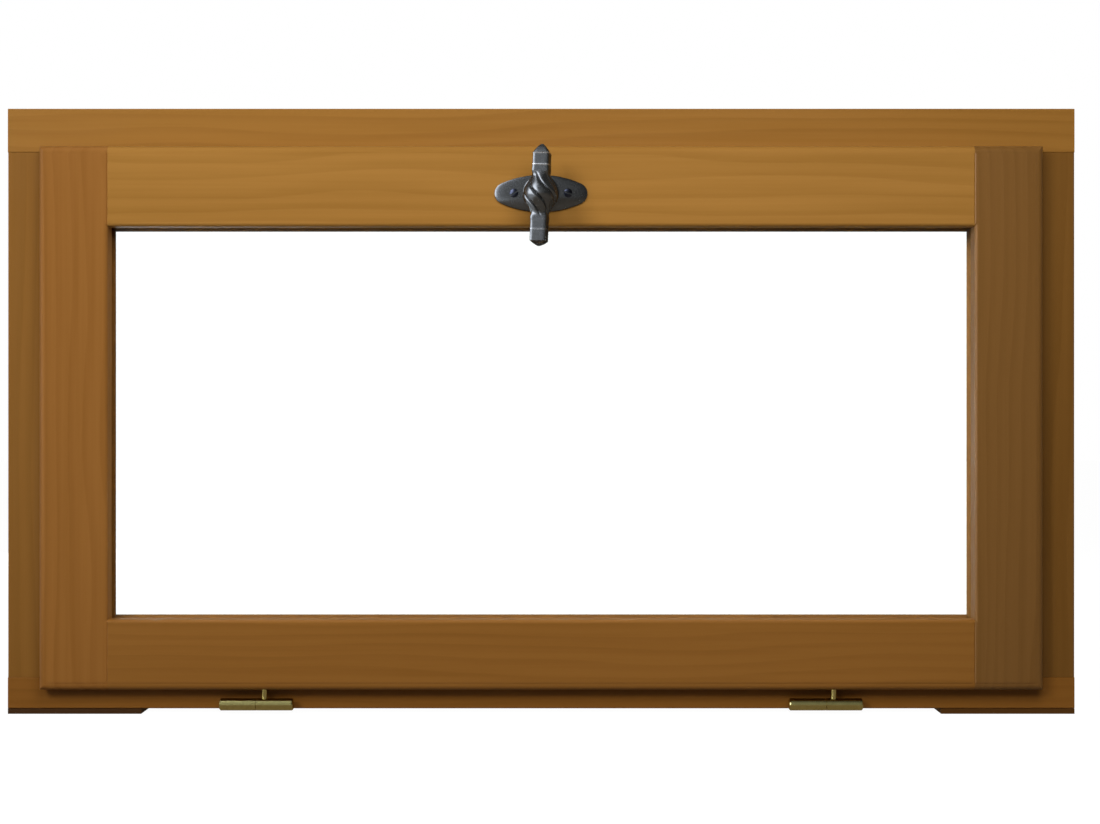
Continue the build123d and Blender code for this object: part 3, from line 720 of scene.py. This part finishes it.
# %% [markdown]
# ### The twisted bar
# The bar is cast after a smith's basket twist, in which rods are turned together and pushed
# out in the middle. As a surface it is a radius about the bar's own axis: square at the
# ends, six ridges in the middle whose place turns with height, and a blend from one to the
# other. Six separate tubes would cross each other, while one radius gives the grooves
# between the strands for free. Thin raised lines ring both square blocks.

# %% Measures of the bar
BAR_MIDDLE = np.array(frame["joints"][0]["pos_m"])
BAR_LEAN = math.radians(2.2)
BAR_DROP = 0.0047
BAR_HALF = 0.006
BAR_ROLL = math.radians(10.0)
BAR_NIB = 0.0014
NIB_ROUND = 0.35
TIP_TAPER = 0.6
TIP_ROWS = np.array([0.0002, 0.0005])
BLOCK_SWELL = 0.05
SWELL_FROM = 0.0215
SWELL_RUN = 0.005
TWIST_HALF = 0.0165
TWIST_RADIUS = 0.01305
TWIST_WAIST = 0.0064
TWIST_TURN = math.radians(170.0)
TWIST_PHASE = math.radians(12.0)
STRANDS = 6
GROOVE = 0.21
SQUARENESS = 9
SHOULDER = 0.0055
SHOULDER_OUT = 0.0005
RIDGES = (-0.0337, -0.0255, 0.0209, 0.0293)
# Share of bare iron on each ridge, paint that has gone plus a painted highlight; it also sets the ridge's
# height.
RIDGE_WEAR_AND_GLINT = (0.0, 0.35, 1.0, 1.0)
RIDGE_HEIGHT = 0.0003
RIDGE_WIDTH = 0.0005
RIDGE_REACH = 0.0011
TIPS = (-0.0372, 0.0362)
bar_up = np.array([math.sin(BAR_LEAN), 0.0, math.cos(BAR_LEAN)])
bar_right = np.array([math.cos(BAR_LEAN), 0.0, -math.sin(BAR_LEAN)])
print("bar:", round(TIPS[1] - TIPS[0], 4), "m long")


# %% The radius of the square blocks and of the twist
def block_radius(along, angle):
    """A rounded square: half / (|cos|^n + |sin|^n)^(1/n) with n as SQUARENESS.

    It is rolled a little so that its front face looks to the left. Half its width grows
    slightly towards the twist, falls as (1 - t)^TIP_TAPER over a tip, and stops at a nib that
    rounds off over the last twelfth of the tip.
    """
    half = BAR_HALF * (1 + BLOCK_SWELL * eased((SWELL_FROM - np.abs(along)) / SWELL_RUN))
    low = (RIDGES[0] - along) / (RIDGES[0] - TIPS[0])
    high = (along - RIDGES[3]) / (TIPS[1] - RIDGES[3])
    tip = np.clip(np.maximum(low, high), 0.0, 1.0)
    nib = BAR_NIB * (1 - NIB_ROUND * eased(tip * 12 - 11))
    half = np.maximum(half * (1 - tip) ** TIP_TAPER, nib)
    rolled = angle + BAR_ROLL
    corners = np.abs(np.cos(rolled)) ** SQUARENESS + np.abs(np.sin(rolled)) ** SQUARENESS
    return half / corners ** (1 / SQUARENESS)


def twist_radius(along, angle):
    """Six broad strands: reach (1 - g + g sqrt(1 - 0.99 u^4)) with g as GROOVE.

    u goes from -1 to 1 over a strand's sixth of the turn. The strands turn by TWIST_TURN over
    the middle while reach swells from the waist to TWIST_RADIUS as a squared cosine.
    """
    swell = np.cos(np.clip(along / TWIST_HALF, -1, 1) * math.pi / 2) ** 2
    reach = TWIST_WAIST + (TWIST_RADIUS - TWIST_WAIST) * swell
    turn = TWIST_PHASE - math.pi / 2 - along / TWIST_HALF * TWIST_TURN / 2
    across = 2 * np.mod((angle - turn) * STRANDS / (2 * math.pi) + 0.5, 1.0) - 1
    return reach * (1 - GROOVE + GROOVE * np.sqrt(1 - 0.99 * across**4))


print("strands:", STRANDS)


# %% The twisted bar
def bar_loops(columns=168):
    """Radius about the bar's axis = (1 - s) blocks + s twist + ridges, with an eased share s.

    Bell-shaped ridges ring the square blocks. Each is as high as its share of bare iron, so the one at the
    foot of the lower tip is missing. The second result is that share at each point: paint that has gone,
    plus a painted highlight that is strongest on the upper ridges.
    """
    fine = np.linspace(-RIDGE_REACH, RIDGE_REACH, 17)
    rings = [place + fine for place in RIDGES]
    tips = [TIPS[0] + TIP_ROWS, TIPS[1] - TIP_ROWS]
    along = np.unique(np.concatenate([np.linspace(*TIPS, 260), *rings, *tips]))[:, None]
    angle = np.linspace(0, 2 * math.pi, columns, endpoint=False)[None, :]
    blocks = block_radius(along, angle)
    twist = twist_radius(along, angle)
    share = eased((TWIST_HALF + SHOULDER_OUT - np.abs(along)) / SHOULDER)
    bells = [np.exp(-(((along - place) / RIDGE_WIDTH) ** 2)) for place in RIDGES]
    ridge = sum(wear * bell for wear, bell in zip(RIDGE_WEAR_AND_GLINT, bells)) + 0 * angle
    radius = (1 - share) * blocks + share * twist + RIDGE_HEIGHT * ridge
    return np.stack([radius * np.cos(angle), radius * np.sin(angle), along + 0 * angle], axis=-1), ridge


loops, wear_and_glint = bar_loops()
bar = closed_skin("twisted_bar", in_place(loops, BAR_MIDDLE - BAR_DROP * bar_up, bar_right, bar_up))
bar.data.attributes.new("wear_and_glint", "FLOAT", "POINT").data.foreach_set("value", wear_and_glint.ravel())
fitted(bar, "handle", "dark_iron", iron, "handle_bar")

# %% [markdown]
# ### The neck
# The neck carries the bar and turns in the rose. It is a turned piece, so its profile, a
# radius for each height, is all that it needs: a plain journal, a thin round collar on the
# boss, and a cove that runs up into the bar. It rides with the bar, whose solid holds both.

# %% The neck
BOSS_TOP = 0.008
NECK_RADIUS = 0.006
COLLAR_RADIUS = 0.008
COLLAR_ROUND = 0.0005
COVE_HEIGHT = 0.008
COVE_BEND = 2.5
COVE_INSET = 0.0006
COVE_FOOT = 0.0016
JOURNAL_RADIUS = 0.0065
JOURNAL_FOOT = 0.0006
SASH_FACE_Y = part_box("handle_rose")[1][1]
HANDLE_Z = BAR_MIDDLE[2]
TOWARDS_ROOM = (0.0, -1.0, 0.0)
RIGHT = (1.0, 0.0, 0.0)
stand_off = SASH_FACE_Y - BAR_MIDDLE[1]


def neck_loops():
    """A turned neck: a plain journal in the rose, a round collar, and a cove up to the bar.

    The collar's edge is a half circle, and the cove narrows to the neck as (1 - t)^COVE_BEND.
    """
    collar = np.linspace(-math.pi / 2, math.pi / 2, 9)
    cove = np.linspace(0.0, 1.0, 24)
    radius = np.concatenate(
        [
            [JOURNAL_RADIUS, JOURNAL_RADIUS],
            COLLAR_RADIUS - COLLAR_ROUND + COLLAR_ROUND * np.cos(collar),
            NECK_RADIUS + (COLLAR_RADIUS - COVE_INSET - NECK_RADIUS) * (1 - cove) ** COVE_BEND,
            [NECK_RADIUS],
        ]
    )
    height = np.concatenate(
        [
            [JOURNAL_FOOT, BOSS_TOP + COLLAR_ROUND],
            BOSS_TOP + 2 * COLLAR_ROUND + COLLAR_ROUND * np.sin(collar),
            BOSS_TOP + COVE_FOOT + COVE_HEIGHT * cove,
            [stand_off],
        ]
    )
    return turned(radius, height)


loops = in_place(neck_loops(), (0.0, SASH_FACE_Y, HANDLE_Z), RIGHT, TOWARDS_ROOM)
fitted(closed_skin("neck", loops), "handle", "dark_iron", iron)

# %% [markdown]
# ### The rose
# The rose is an oval plate with a crowned face and a cone in the middle that takes the neck.
# Its outline is the one that a draughtsman draws with a compass, two flat arcs and two small
# end arcs that touch. An ellipse would have thinner ends. The face is a height over the
# plate, worked out for each direction from the distance to that outline.

# %% Measures of the rose and its outline
rose_low, rose_high = (np.array(corner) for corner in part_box("handle_rose"))
ROSE_HALF_LENGTH = (rose_high[0] - rose_low[0]) / 2
ROSE_HALF_HEIGHT = (rose_high[2] - rose_low[2]) / 2
ROSE_EDGE = 0.0014
ROSE_CROWN = 0.003
ROSE_END_RADIUS = 0.008
CONE_RADIUS = 0.0135
CONE_WIDTH = 0.0055
BORE_PLAY = 0.0003
BORE_RADIUS = JOURNAL_RADIUS + BORE_PLAY


def oval_radius(angle):
    """Distance from the middle to a four-centred oval's edge.

    Flat arcs of radius drop + ROSE_HALF_HEIGHT about (0, +-drop) touch small end arcs about
    (+-reach, 0). A ray leaves through an end arc below the angle of the point of contact.
    """
    cosine, sine = np.abs(np.cos(angle)), np.abs(np.sin(angle))
    reach = ROSE_HALF_LENGTH - ROSE_END_RADIUS
    step = ROSE_HALF_HEIGHT - ROSE_END_RADIUS
    drop = (reach**2 - step**2) / (2 * step)
    flat = drop + ROSE_HALF_HEIGHT
    side = np.sqrt(flat**2 - (drop * cosine) ** 2) - drop * sine
    end = reach * cosine + np.sqrt(np.clip(ROSE_END_RADIUS**2 - (reach * sine) ** 2, 0, None))
    lean = ROSE_END_RADIUS / math.hypot(reach, drop)
    contact = math.atan2(drop * lean, reach * (1 + lean))
    return np.where(np.arctan2(sine, cosine) < contact, end, side)


print("rose:", round(2 * ROSE_HALF_LENGTH, 4), "by", round(2 * ROSE_HALF_HEIGHT, 4), "m")


# %% The rose
def rose_loops(columns=288):
    """Height over an oval = edge + crown (1 - q^2)^0.7 + a cone about the bore.

    q is the distance from the middle as a share of the oval's own radius in that direction.
    The loops run from the bore over the face to the rim and back underneath.
    """
    angle = np.linspace(0, 2 * math.pi, columns, endpoint=False)[None, :]
    outline = oval_radius(angle)
    step = np.sin(np.linspace(0.0, 1.0, 90) * math.pi / 2)[:, None]
    radius = BORE_RADIUS + (outline - BORE_RADIUS) * step
    crown = ROSE_CROWN * (1 - np.clip(radius / outline, 0, 1) ** 2) ** 0.7
    boss = (BOSS_TOP - ROSE_EDGE - ROSE_CROWN) * eased((CONE_RADIUS - radius) / CONE_WIDTH)
    height = ROSE_EDGE + crown + boss
    radius = np.concatenate([radius, outline, outline * 0 + BORE_RADIUS])
    height = np.concatenate([height, outline * 0, outline * 0])
    return np.stack([radius * np.cos(angle), radius * np.sin(angle), height], axis=-1)[::-1]


loops = in_place(rose_loops(), (0.0, SASH_FACE_Y, HANDLE_Z), RIGHT, TOWARDS_ROOM)
fitted(closed_skin("rose", loops, ring=True), "window", "dark_iron", iron, "handle_rose")

# %% [markdown]
# ### The rose screws
# Two slotted screws with domed heads hold the rose. A slot cut out of a turned dome would
# need a boolean cut. Here each loop is a slice of the head parallel to the slot instead, so
# the slot is only a few slices that lie lower, with slices close together at its walls.

# %% The rose screws
SCREW_RADIUS = 0.0037
SCREW_PLACE = 0.0197
SCREW_SEAT = 0.0026
SCREW_DOME = 0.0021
SLOT_HALF = 0.00055
SLOT_DEPTH = 0.0011
SLOT_WALL = 0.004
HEAD_SKIRT = 0.0012
LAST_SLICE = 0.999


def screw_loops(turn, rows=48, columns=33):
    """A domed, slotted head: each loop is its cross-section parallel to the slot.

    The dome's height is SCREW_DOME sqrt(1 - r^2), and inside the slot SLOT_DEPTH less.
    """
    wall = SLOT_HALF / SCREW_RADIUS
    across = np.sin(np.linspace(-LAST_SLICE, LAST_SLICE, rows) * math.pi / 2)
    walls = [-wall - SLOT_WALL, -wall + SLOT_WALL, wall - SLOT_WALL, wall + SLOT_WALL]
    across = np.unique(np.concatenate([across, walls]))[:, None]
    chord = np.sqrt(1 - across**2)
    run = np.linspace(-1.0, 1.0, columns)[None, :]
    dome = SCREW_DOME * np.sqrt(np.clip(1 - across**2 - (run * chord) ** 2, 0, 1))
    top = SCREW_SEAT + np.where(np.abs(across) < wall, dome - SLOT_DEPTH, dome)
    x = np.concatenate([run * chord, (run * chord)[:, ::-1]], axis=1) * SCREW_RADIUS
    z = np.concatenate([top, top * 0 + SCREW_SEAT - HEAD_SKIRT], axis=1)
    y = across * SCREW_RADIUS + 0 * x
    loops = np.stack([x, y, z], axis=-1)
    spin = np.array([[math.cos(turn), math.sin(turn), 0], [-math.sin(turn), math.cos(turn), 0], [0, 0, 1]])
    return loops @ spin


for side, turn in (("left", math.radians(32)), ("right", math.radians(-20))):
    place = (-SCREW_PLACE if side == "left" else SCREW_PLACE, SASH_FACE_Y, HANDLE_Z)
    loops = in_place(screw_loops(turn), place, RIGHT, TOWARDS_ROOM)
    head = closed_skin("screw_head_" + side, loops)
    fitted(head, "window", "dark_iron", screw_steel, "rose_screw_" + side)
